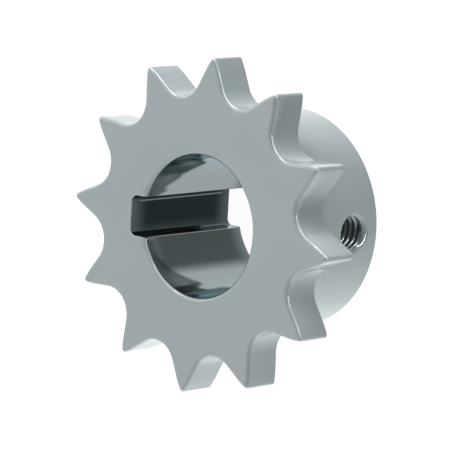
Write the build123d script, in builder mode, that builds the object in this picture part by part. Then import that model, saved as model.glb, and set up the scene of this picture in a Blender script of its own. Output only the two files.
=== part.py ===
from build123d import *
import os
from math import cos, radians, sin

# Chain sprocket with a hub on one side, a keyed bore and a radial set-screw hole. Millimetres.
# +Z runs along the bore's axis. The origin is on the axis at the hub's end face, and the toothed
# plate is on top of the hub.

# The chain that the teeth mesh with
chain_pitch = 15.875
roller_d = 10.16

# Toothed plate
tooth_count = 12
tooth_angle = -7.3  # direction of a tooth's centre line, degrees from +X
tooth_rise = 2.43  # from the pitch circle to the tip
seat_half_angle = 50.0  # of the roller seat, on each side of the root, degrees
flank_run = 3.45  # straight part of a flank, beyond the seat
tip_r = 0.67
plate_t = 8.7
plate_edge_r = 0.9  # front face's rim
plate_back_edge = 0.6  # chamfer of the back face's rim

# Hub
hub_d = 44.0
length = 29.2  # of the hub and the plate together
hub_edge = 0.7  # chamfer

# Bore and keyway
bore_d = 28.0
bore_edge = 0.8  # chamfer, at both ends
key_w = 8.0
key_depth = 3.3  # beyond the bore's wall, on the keyway's centre line
key_corner_r = 1.2
key_edge = 0.2  # chamfer, at both ends
key_angle = 176.0  # degrees from +X

# Set-screw hole, through the hub's wall opposite the keyway
screw_d = 8.0  # thread's full diameter
screw_sink_d = 8.3  # countersink
screw_sink_angle = 90
screw_z = 7.5

# Standard proportions of the roller seat
seat_ratio = 0.5025  # seat's radius over the roller's diameter, before the allowance
seat_allowance = 0.038

# Sizes that follow
tooth_step = 360 / tooth_count
pitch_r = chain_pitch / 2 / sin(radians(tooth_step / 2))
seat_r = seat_ratio * roller_d + seat_allowance
tip_reach = pitch_r + tooth_rise
hub_h = length - plate_t
hub_r = hub_d / 2
bore_r = bore_d / 2
key_floor = bore_r + key_depth
screw_angle = key_angle - 180


def polar(radius, angle, z):
    """The point at this radius, angle in degrees and height."""
    return Vector(radius * cos(radians(angle)), radius * sin(radians(angle)), z)


# Half a tooth, centred on +Y. The roller's centre is on the pitch circle.
roller_centre = polar(pitch_r, 90 - tooth_step / 2, 0)
to_root = roller_centre.normalized() * -1
into_tooth = to_root.rotate(Axis.Z, -seat_half_angle)
up_flank = into_tooth.rotate(Axis.Z, -90)
seat_start = roller_centre + to_root * seat_r
seat_end = roller_centre + into_tooth * seat_r
flank_end = seat_end + up_flank * flank_run

# The topping curve is tangent to the straight flank and to the tip's arc
tip_centre = Vector(0, tip_reach - tip_r)
tip_offset = flank_end - tip_centre
topping_r = (tip_r**2 - tip_offset.dot(tip_offset)) / (2 * (tip_offset.dot(into_tooth) + tip_r))
topping_centre = flank_end + into_tooth * topping_r
tip_start = tip_centre + (tip_centre - topping_centre) * (tip_r / (topping_r - tip_r))

with BuildSketch() as tooth:
    with BuildLine():
        Line((0, 0), seat_start)
        RadiusArc(seat_start, seat_end, seat_r)
        Line(seat_end, flank_end)
        topping = TangentArc(flank_end, tip_start, tangent=up_flank)
        TangentArc(tip_start, (0, tip_reach), tangent=topping % 1)
        Line((0, tip_reach), (0, 0))
    make_face()
    mirror(about=Plane.YZ)

with BuildPart() as sprocket:
    # Toothed plate, with a rounded front rim
    with BuildSketch(Plane.XY.offset(hub_h)):
        with PolarLocations(0, tooth_count, start_angle=tooth_angle - 90):
            add(tooth)
    extrude(amount=plate_t)
    plate_back, plate_front = sprocket.faces().filter_by(Axis.Z).sort_by(Axis.Z)
    fillet(plate_front.edges(), plate_edge_r)
    chamfer(plate_back.edges(), plate_back_edge)

    # Hub
    with BuildSketch():
        Circle(hub_r)
    extrude(amount=hub_h)
    chamfer(sprocket.faces().sort_by(Axis.Z)[0].edges(), hub_edge)

    # Bore, chamfered at both ends
    with BuildSketch():
        Circle(bore_r)
    extrude(amount=length, mode=Mode.SUBTRACT)
    hub_end, _, plate_front = sprocket.faces().filter_by(Axis.Z).sort_by(Axis.Z)
    bore_rims = hub_end.inner_wires() + plate_front.inner_wires()
    chamfer(bore_rims.edges(), bore_edge)

    # Keyway, with rounded corners along its floor. The two longest edges left are the bore's rims.
    with BuildSketch() as keyway:
        Rectangle(key_floor, key_w, rotation=key_angle, align=(Align.MIN, Align.CENTER))
        floor_corners = keyway.vertices().sort_by_distance((0, 0))[-2:]
        fillet(floor_corners, key_corner_r)
    extrude(amount=length, mode=Mode.SUBTRACT)
    hub_end, _, plate_front = sprocket.faces().filter_by(Axis.Z).sort_by(Axis.Z)
    end_rims = hub_end.inner_wires() + plate_front.inner_wires()
    chamfer(end_rims.edges().sort_by(SortBy.LENGTH)[:-2], key_edge)

    # Set-screw hole, plain inside, with a countersink
    with Locations(Plane(origin=polar(hub_r, screw_angle, screw_z), z_dir=polar(1, screw_angle, 0))):
        CounterSinkHole(screw_d / 2, screw_sink_d / 2, hub_r, counter_sink_angle=screw_sink_angle)

sprocket.part.label = "sprocket"

os.makedirs("parts", exist_ok=True)
export_step(sprocket.part, "parts/sprocket.step")
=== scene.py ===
from math import cos, radians, sin, sqrt, tau

import bmesh
import bpy
from mathutils import Matrix, Vector


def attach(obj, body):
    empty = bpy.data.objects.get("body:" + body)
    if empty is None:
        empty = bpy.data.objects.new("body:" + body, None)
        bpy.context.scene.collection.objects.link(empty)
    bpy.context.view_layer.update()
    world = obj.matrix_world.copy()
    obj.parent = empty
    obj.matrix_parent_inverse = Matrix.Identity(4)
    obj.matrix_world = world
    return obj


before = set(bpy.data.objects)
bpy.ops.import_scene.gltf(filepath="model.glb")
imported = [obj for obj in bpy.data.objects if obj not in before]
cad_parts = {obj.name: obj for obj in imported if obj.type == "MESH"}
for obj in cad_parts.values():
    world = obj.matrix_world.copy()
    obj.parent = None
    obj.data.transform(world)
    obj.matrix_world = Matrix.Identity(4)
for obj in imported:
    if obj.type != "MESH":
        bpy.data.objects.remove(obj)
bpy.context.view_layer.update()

MM = 0.001

# The sprocket's own sizes, as in the solid. Angles are in degrees from +X.
HUB_R = 22.0 * MM
BORE_R = 14.0 * MM
LENGTH = 29.2 * MM
KEY_HALF_WIDTH = 4.0 * MM
KEY_FLOOR = 17.3 * MM
KEY_ANGLE = 176.0
SCREW_Z = 7.5 * MM
SCREW_HALF_WIDTH = 4.0 * MM
SCREW_ANGLE = -4.0

# Enamel: colours, gloss, clouds and orange peel
ENAMEL_DARK = (0.325, 0.362, 0.376)
ENAMEL_LIGHT = (0.345, 0.384, 0.398)
ENAMEL_TINT = (0.78, 0.96, 1.0)
ENAMEL_ROUGHNESS = 0.09
ROUGHNESS_SPREAD = 0.03
ENAMEL_IOR = 2.05
CLOUD_SCALE = 90.0
CLOUD_DETAIL = 4.0
PEEL_SCALE = 420.0
PEEL_DETAIL = 1.0
PEEL_STRENGTH = 0.25
PEEL_HEIGHT = 0.03 * MM

# Where the steel is bare: onto the foot of the bore's chamfers, and in the keyway and the screw
# hole from the bore's wall on, but not on the keyway's end chamfers nor on the countersink
BORE_FADE = 0.3 * MM
OPENING_START = 0.95 * BORE_R
KEY_MARGIN = 0.1 * MM
KEY_RIM_EDGE = (0.1 * MM, 0.3 * MM)
SCREW_MARGIN = 0.05 * MM
SCREW_SINK_START = 21.12 * MM

# Steel of the bore, with a patch of painted shade on one side of the keyway, and a middle grey
# towards both ends
BARE_METALLIC = 0.93
BORE_BARE = (0.335, 0.365, 0.367)
BORE_PAINTED_SHADE = (0.055, 0.067, 0.068)
BORE_END = (0.168, 0.185, 0.192)
BORE_SHADE_EDGE = (8.0 * MM, 10.5 * MM)
END_FADE_DEPTH = 5.0 * MM

# Steel of the keyway: painted shade, nearly black across its width and less deep at its ends,
# painted light on one side wall, and a painted highlight line near one corner
KEY_DEEP_SHADE = (0.006, 0.010, 0.012)
KEY_LOW = (0.03, 0.04, 0.042)
KEY_LOW_EDGE = (1.5 * MM, 4.0 * MM)
KEY_WALL = (0.35, 0.33, 0.32)
KEY_WALL_EDGE = (3.6 * MM, 3.95 * MM)
KEY_END = (0.07, 0.085, 0.09)
KEY_PAINTED_HIGHLIGHT = (0.16, 0.18, 0.18)
KEY_LINE_AT = -2.65 * MM
KEY_LINE_EDGE = (0.05 * MM, 0.20 * MM)
KEY_LINE_END = 2.5 * MM

# Dull steel of the thread, with painted shade from the crests towards the roots
SCREW_METALLIC = 0.12
SCREW_CREST = (0.60, 0.64, 0.64)
SCREW_ROOT = (0.38, 0.43, 0.42)
CREST_TO_ROOT = (3.38 * MM, 3.72 * MM)

# Shading: how far apart corners are joined, the angle up to which an edge is smooth, and a lower
# angle, with how far above and below the screw hole's axis it holds
CORNER_GAP = 0.002 * MM
CHAMFER_LIMIT = radians(50)
HOLE_LIMIT = radians(32)
SCREW_SPAN = 5.0 * MM

# Thread of the set-screw hole, M8. A section's points are given as distance along the hole, from
# the bore's axis for the ring and from the ridge's middle for the ridge, and distance from the
# hole's axis. They and the ridge's start are in mm.
RING_SECTION = (
    (20.74, 4.06), (21.05, 3.38), (21.13, 3.33), (21.21, 3.36),
    (21.84, 4.0), (21.84, 4.06), (20.74, 4.06),
)
RIDGE_SECTION = (
    (-0.58, 4.06), (-0.2, 3.4), (-0.12, 3.33), (0.12, 3.33),
    (0.2, 3.4), (0.58, 4.06), (-0.58, 4.06),
)
RIDGE_START = 14.65
RIDGE_TURNS = 4.75
SCREW_PITCH = 1.25 * MM
TURN_STEPS = 48
SEAM_GAP = 0.001 * MM
UNDER_SURFACE = 0.01 * MM

# Camera: turn and lift in degrees, lens and sensor in mm
VIEW_TURN = 41.6351
VIEW_LIFT = 5.6670
VIEW_DISTANCE = 638.169 * MM
VIEW_AIM = Vector((4.369, 0.131, 25.299)) * MM
VIEW_LENS = 262.018
SENSOR = 36.0

# Light: name, place, size and watts of each softbox, and the low strips, at directions in degrees
# from +X
SOFTBOXES = (
    ("softbox_top", (-0.36, 1.26, 0.88), (2.2, 1.5), 58),
    ("softbox_low", (0, -1.3, 0.22), (2.4, 0.35), 37),
)
STRIP_TURNS = (15, 55, 95)
STRIP_DISTANCE = 1.0
STRIP_HEIGHT = 0.075
STRIP_SIZE = (0.7, 0.12)
STRIP_WATTS = 4.6
LAMP_AIM = Vector((0, 0, 0.015))

# Floor and world
WHITE = (1, 1, 1, 1)
FLOOR_GREY = (0.2, 0.2, 0.2, 1)
FLOOR_ROUGHNESS = 0.9
FLOOR_GLOW = 0.96
FLOOR_SIZE = 4.0
WORLD_LEVEL = 0.06

# Places of the colour sockets of a Mix node, whose names aren't unique
MIX_COLOURS = (6, 7)
MIX_RESULT = 2


def add_object(name, data):
    """An object of the scene, at the origin."""
    holder = bpy.data.objects.new(name, data)
    bpy.context.collection.objects.link(holder)
    return holder


def add_mesh(name, mesh):
    """A finished bmesh as an object of the scene."""
    data = bpy.data.meshes.new(name)
    mesh.to_mesh(data)
    mesh.free()
    return add_object(name, data)


def new_material(name):
    """A material with its node tree and its Principled shader."""
    material = bpy.data.materials.new(name)
    material.use_nodes = True
    return material, material.node_tree, material.node_tree.nodes["Principled BSDF"]


def add_node(tree, kind, **values):
    """A node. Each value sets the property of its name, or else the socket of its name."""
    node = tree.nodes.new(kind)
    for key, value in values.items():
        if hasattr(node, key):
            setattr(node, key, value)
        else:
            node.inputs[key].default_value = value
    return node


def combine(tree, operation, *values):
    """The number that an operation makes of its values, each a socket or a plain number."""
    node = add_node(tree, "ShaderNodeMath", operation=operation)
    for value, socket in zip(values, node.inputs):
        if isinstance(value, (int, float)):
            socket.default_value = value
        else:
            tree.links.new(value, socket)
    return node.outputs[0]


def all_of(tree, first, *others):
    """Masks multiplied together."""
    product = first
    for mask in others:
        product = combine(tree, "MULTIPLY", product, mask)
    return product


def step(tree, value, low, high):
    """0 below the low value and 1 above the high one, smooth between them."""
    ramp = add_node(tree, "ShaderNodeMapRange", interpolation_type="SMOOTHSTEP")
    ramp.inputs["From Min"].default_value = low
    ramp.inputs["From Max"].default_value = high
    tree.links.new(value, ramp.inputs["Value"])
    return ramp.outputs["Result"]


def towards(tree, east, north, angle):
    """How far a place lies in a direction that is given in degrees from +X."""
    turn = radians(angle)
    east_share = combine(tree, "MULTIPLY", east, cos(turn))
    north_share = combine(tree, "MULTIPLY", north, sin(turn))
    return combine(tree, "ADD", east_share, north_share)


def hypotenuse(tree, first, second):
    """The distance that two distances at right angles make."""
    squares = [combine(tree, "MULTIPLY", side, side) for side in (first, second)]
    return combine(tree, "SQRT", combine(tree, "ADD", *squares))


def mix_colour(tree, factor, *colours):
    """Two colours mixed by a socket, each of them a socket or a plain colour."""
    blend = add_node(tree, "ShaderNodeMix", data_type="RGBA")
    tree.links.new(factor, blend.inputs["Factor"])
    for colour, index in zip(colours, MIX_COLOURS):
        if isinstance(colour, tuple):
            blend.inputs[index].default_value = (*colour, 1)
        else:
            tree.links.new(colour, blend.inputs[index])
    return blend.outputs[MIX_RESULT]


def enamel_group():
    """Soft cloudiness and orange peel of a sprayed enamel: a colour, a roughness and a height."""
    tree = bpy.data.node_groups.new("enamel_coat", "ShaderNodeTree")
    new_socket = tree.interface.new_socket
    for name in ("Dark", "Light"):
        new_socket(name, in_out="INPUT", socket_type="NodeSocketColor")
    for name in ("Roughness", "Roughness spread"):
        new_socket(name, in_out="INPUT", socket_type="NodeSocketFloat")
    new_socket("Color", in_out="OUTPUT", socket_type="NodeSocketColor")
    for name in ("Roughness", "Height"):
        new_socket(name, in_out="OUTPUT", socket_type="NodeSocketFloat")
    given = add_node(tree, "NodeGroupInput").outputs
    result = add_node(tree, "NodeGroupOutput").inputs
    link = tree.links.new
    place = add_node(tree, "ShaderNodeTexCoord").outputs["Object"]
    clouds = add_node(tree, "ShaderNodeTexNoise", Scale=CLOUD_SCALE, Detail=CLOUD_DETAIL)
    peel = add_node(tree, "ShaderNodeTexNoise", Scale=PEEL_SCALE, Detail=PEEL_DETAIL)
    link(place, clouds.inputs["Vector"])
    link(place, peel.inputs["Vector"])
    cloud = clouds.outputs["Fac"]
    spread = given["Roughness spread"]
    link(mix_colour(tree, cloud, given["Dark"], given["Light"]), result["Color"])
    roughness = combine(tree, "MULTIPLY_ADD", cloud, spread, given["Roughness"])
    link(roughness, result["Roughness"])
    link(peel.outputs["Fac"], result["Height"])
    return tree


def distances(tree):
    """How far a place is along and across the keyway, from the bore's axis, from the screw
    hole's axis and from the nearer end."""
    place = add_node(tree, "ShaderNodeTexCoord").outputs["Object"]
    axes = add_node(tree, "ShaderNodeSeparateXYZ")
    tree.links.new(place, axes.inputs["Vector"])
    east, north, up = axes.outputs
    along = towards(tree, east, north, KEY_ANGLE)
    across = towards(tree, east, north, KEY_ANGLE + 90)
    from_axis = hypotenuse(tree, east, north)
    from_hole = hypotenuse(tree, across, combine(tree, "SUBTRACT", up, SCREW_Z))
    depth = combine(tree, "MINIMUM", up, combine(tree, "SUBTRACT", LENGTH, up))
    return along, across, from_axis, from_hole, depth


def bore_steel(tree, along, across, depth):
    """Colour of the bore's steel, with a patch of painted shade beside the keyway on one side, and
    a middle grey towards both ends.
    """
    one_side = combine(tree, "GREATER_THAN", across, 0.0)
    painted_shade = all_of(tree, step(tree, along, *BORE_SHADE_EDGE), one_side)
    colour = mix_colour(tree, painted_shade, BORE_BARE, BORE_PAINTED_SHADE)
    return mix_colour(tree, step(tree, depth, 0.0, END_FADE_DEPTH), BORE_END, colour)


def keyway_steel(tree, across, depth):
    """Colour of the keyway's steel: painted shade, nearly black and less deep towards its ends,
    with painted light on one side wall and a painted highlight line.
    """
    # Painted shade across the keyway's width
    colour = mix_colour(tree, step(tree, across, *KEY_LOW_EDGE), KEY_DEEP_SHADE, KEY_LOW)
    # Painted light on one side wall
    colour = mix_colour(tree, step(tree, across, *KEY_WALL_EDGE), colour, KEY_WALL)
    colour = mix_colour(tree, step(tree, depth, 0.0, END_FADE_DEPTH), KEY_END, colour)
    # A painted highlight line along one corner, away from the ends
    from_line = combine(tree, "ABSOLUTE", combine(tree, "SUBTRACT", across, KEY_LINE_AT))
    beside = step(tree, from_line, *KEY_LINE_EDGE)
    off_line = combine(tree, "MAXIMUM", beside, combine(tree, "LESS_THAN", depth, KEY_LINE_END))
    return mix_colour(tree, off_line, KEY_PAINTED_HIGHLIGHT, colour)


def grey_enamel(name, group):
    """Glossy grey enamel, bare steel with painted shade, light and highlight in the bore and the
    keyway, and dull steel with painted shade towards the thread's roots.
    """
    material, tree, shader = new_material(name)
    link = tree.links.new
    coat = add_node(tree, "ShaderNodeGroup", node_tree=group)
    coat.inputs["Dark"].default_value = (*ENAMEL_DARK, 1)
    coat.inputs["Light"].default_value = (*ENAMEL_LIGHT, 1)
    coat.inputs["Roughness"].default_value = ENAMEL_ROUGHNESS
    coat.inputs["Roughness spread"].default_value = ROUGHNESS_SPREAD

    along, across, from_axis, from_hole, depth = distances(tree)
    past_wall = step(tree, from_axis, BORE_R, BORE_R + BORE_FADE)
    in_bore = combine(tree, "SUBTRACT", 1.0, past_wall)
    off_centre = combine(tree, "ABSOLUTE", across)
    in_key = all_of(
        tree,
        combine(tree, "GREATER_THAN", along, OPENING_START),
        combine(tree, "LESS_THAN", along, KEY_FLOOR + KEY_MARGIN),
        combine(tree, "LESS_THAN", off_centre, KEY_HALF_WIDTH + KEY_MARGIN),
        step(tree, depth, *KEY_RIM_EDGE),
    )
    in_hole = all_of(
        tree,
        combine(tree, "LESS_THAN", along, -OPENING_START),
        combine(tree, "GREATER_THAN", along, -SCREW_SINK_START),
        combine(tree, "LESS_THAN", from_hole, SCREW_HALF_WIDTH + SCREW_MARGIN),
    )
    bare = combine(tree, "MAXIMUM", combine(tree, "MAXIMUM", in_bore, in_key), in_hole)

    bore_colour = bore_steel(tree, along, across, depth)
    inner_colour = mix_colour(tree, in_key, bore_colour, keyway_steel(tree, across, depth))
    # Painted shade: the thread darker from its crests towards its roots
    crest_to_root = step(tree, from_hole, *CREST_TO_ROOT)
    thread_colour = mix_colour(tree, crest_to_root, SCREW_CREST, SCREW_ROOT)
    bare_colour = mix_colour(tree, in_hole, inner_colour, thread_colour)
    link(mix_colour(tree, bare, coat.outputs["Color"], bare_colour), shader.inputs["Base Color"])
    loss = combine(tree, "MULTIPLY", in_hole, BARE_METALLIC - SCREW_METALLIC)
    metallic = combine(tree, "MULTIPLY", bare, combine(tree, "SUBTRACT", BARE_METALLIC, loss))
    link(metallic, shader.inputs["Metallic"])
    link(coat.outputs["Roughness"], shader.inputs["Roughness"])
    bump = add_node(tree, "ShaderNodeBump", Strength=PEEL_STRENGTH, Distance=PEEL_HEIGHT)
    link(coat.outputs["Height"], bump.inputs["Height"])
    link(bump.outputs["Normal"], shader.inputs["Normal"])
    shader.inputs["IOR"].default_value = ENAMEL_IOR
    shader.inputs["Specular Tint"].default_value = (*ENAMEL_TINT, 1)
    return material


def white_floor(name):
    """White where it is seen, directly, in gloss or through glass, and matt grey to the light."""
    material, tree, shader = new_material(name)
    shader.inputs["Base Color"].default_value = FLOOR_GREY
    shader.inputs["Roughness"].default_value = FLOOR_ROUGHNESS
    shader.inputs["Emission Color"].default_value = WHITE
    rays = add_node(tree, "ShaderNodeLightPath").outputs
    seen = combine(tree, "ADD", rays["Is Camera Ray"], rays["Is Glossy Ray"])
    seen = combine(tree, "ADD", seen, rays["Is Transmission Ray"])
    glow = combine(tree, "MULTIPLY", seen, FLOOR_GLOW)
    tree.links.new(glow, shader.inputs["Emission Strength"])
    return material


def even_shading(piece):
    """Join the triangles' corners and shade by the larger faces, so that chamfers look rounded.

    Edges past the limit stay sharp, and the screw hole's edges do from a lower limit.
    """
    tree = bpy.data.node_groups.new("even_shading", "GeometryNodeTree")
    for way in ("INPUT", "OUTPUT"):
        tree.interface.new_socket("Geometry", in_out=way, socket_type="NodeSocketGeometry")
    link = tree.links.new
    given = add_node(tree, "NodeGroupInput")
    merge = add_node(tree, "GeometryNodeMergeByDistance", Distance=CORNER_GAP)
    smooth = add_node(tree, "GeometryNodeSetShadeSmooth")
    edges = add_node(tree, "GeometryNodeSetShadeSmooth", domain="EDGE")
    result = add_node(tree, "NodeGroupOutput")
    for node, following in ((given, merge), (merge, smooth), (smooth, edges), (edges, result)):
        link(node.outputs["Geometry"], following.inputs["Geometry"])

    place = add_node(tree, "GeometryNodeInputPosition")
    axes = add_node(tree, "ShaderNodeSeparateXYZ")
    link(place.outputs["Position"], axes.inputs["Vector"])
    off_axis = combine(tree, "ABSOLUTE", combine(tree, "SUBTRACT", axes.outputs["Z"], SCREW_Z))
    by_hole = combine(tree, "LESS_THAN", off_axis, SCREW_SPAN)
    drop = combine(tree, "MULTIPLY", by_hole, CHAMFER_LIMIT - HOLE_LIMIT)
    angle = add_node(tree, "GeometryNodeInputMeshEdgeAngle")
    shallow = add_node(tree, "FunctionNodeCompare", operation="LESS_THAN")
    link(angle.outputs["Unsigned Angle"], shallow.inputs["A"])
    link(combine(tree, "SUBTRACT", CHAMFER_LIMIT, drop), shallow.inputs["B"])
    link(shallow.outputs["Result"], edges.inputs["Shade Smooth"])

    piece.modifiers.new("even_shading", "NODES").node_group = tree
    weighted = piece.modifiers.new("face_normals", "WEIGHTED_NORMAL")
    weighted.mode = "FACE_AREA"
    weighted.keep_sharp = True


def polyline(mesh, points):
    """A run of edges through points that are given as distance along the hole and radius."""
    verts = [mesh.verts.new((along * MM, radius * MM, SCREW_Z)) for along, radius in points]
    edges = [mesh.edges.new(pair) for pair in zip(verts, verts[1:])]
    return verts + edges


def set_screw_thread():
    """The hole's helical ridge, and the ring that its countersink leaves of the first turn."""
    mesh = bmesh.new()
    centre, axis = (0, 0, SCREW_Z), (1, 0, 0)
    ring = polyline(mesh, RING_SECTION)
    bmesh.ops.spin(
        mesh, geom=ring, cent=centre, axis=axis, angle=tau, steps=TURN_STEPS, use_merge=True
    )
    ridge = polyline(mesh, [(RIDGE_START + along, radius) for along, radius in RIDGE_SECTION])
    bmesh.ops.spin(
        mesh, geom=ridge, cent=centre, axis=axis, angle=tau * RIDGE_TURNS,
        dvec=(SCREW_PITCH / TURN_STEPS, 0, 0), steps=round(TURN_STEPS * RIDGE_TURNS),
    )
    bmesh.ops.remove_doubles(mesh, verts=mesh.verts, dist=SEAM_GAP)
    bmesh.ops.holes_fill(mesh, edges=mesh.edges, sides=0)

    # The hub's surface cuts the ring off, just under it
    for vert in mesh.verts:
        vert.co.x = min(vert.co.x, sqrt(HUB_R**2 - vert.co.y**2) - UNDER_SURFACE)
    turn = Matrix.Rotation(radians(SCREW_ANGLE), 3, "Z")
    bmesh.ops.rotate(mesh, verts=mesh.verts, matrix=turn)
    bmesh.ops.recalc_face_normals(mesh, faces=mesh.faces)
    for face in mesh.faces:
        face.smooth = True
    return add_mesh("set_screw_thread", mesh)


def studio_lamp(name, place, size, watts):
    """A rectangular lamp at a place, turned to the sprocket."""
    lamp = bpy.data.lights.new(name, "AREA")
    lamp.shape = "RECTANGLE"
    lamp.size, lamp.size_y = size
    lamp.energy = watts
    holder = add_object(name, lamp)
    holder.location = place
    holder.rotation_euler = (LAMP_AIM - Vector(place)).to_track_quat("-Z", "Y").to_euler()
    return holder


# Finish
enamel = grey_enamel("grey_enamel", enamel_group())

sprocket = bpy.data.objects["sprocket"]
for holder in sprocket.material_slots:
    holder.material = enamel
even_shading(sprocket)

# Thread of the set-screw hole
thread = set_screw_thread()
thread.data.materials.append(enamel)
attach(thread, "root")

# Camera
lens = bpy.data.cameras.new("camera")
lens.sensor_width = SENSOR
lens.lens = VIEW_LENS
camera = add_object("camera", lens)
camera.rotation_euler = (-radians(VIEW_LIFT), radians(VIEW_TURN), 0)
camera.location = VIEW_AIM + camera.rotation_euler.to_matrix() @ Vector((0, 0, VIEW_DISTANCE))
bpy.context.scene.camera = camera

# Floor
floor_mesh = bmesh.new()
bmesh.ops.create_grid(floor_mesh, x_segments=1, y_segments=1, size=FLOOR_SIZE)
floor = add_mesh("floor", floor_mesh)
floor.data.materials.append(white_floor("white_floor"))

# World
world = bpy.data.worlds.new("studio")
bpy.context.scene.world = world
world.use_nodes = True
background = world.node_tree.nodes["Background"]
background.inputs["Color"].default_value = WHITE
background.inputs["Strength"].default_value = WORLD_LEVEL

# Softboxes light the faces without a mirrored image, and low strips draw the highlights on the rims
for name, place, size, watts in SOFTBOXES:
    studio_lamp(name, place, size, watts).visible_glossy = False
for turn in STRIP_TURNS:
    place = (
        STRIP_DISTANCE * cos(radians(turn)), STRIP_DISTANCE * sin(radians(turn)), STRIP_HEIGHT
    )
    studio_lamp(f"strip_{turn}", place, STRIP_SIZE, STRIP_WATTS).visible_diffuse = False

bpy.context.scene.view_settings.view_transform = "Standard"
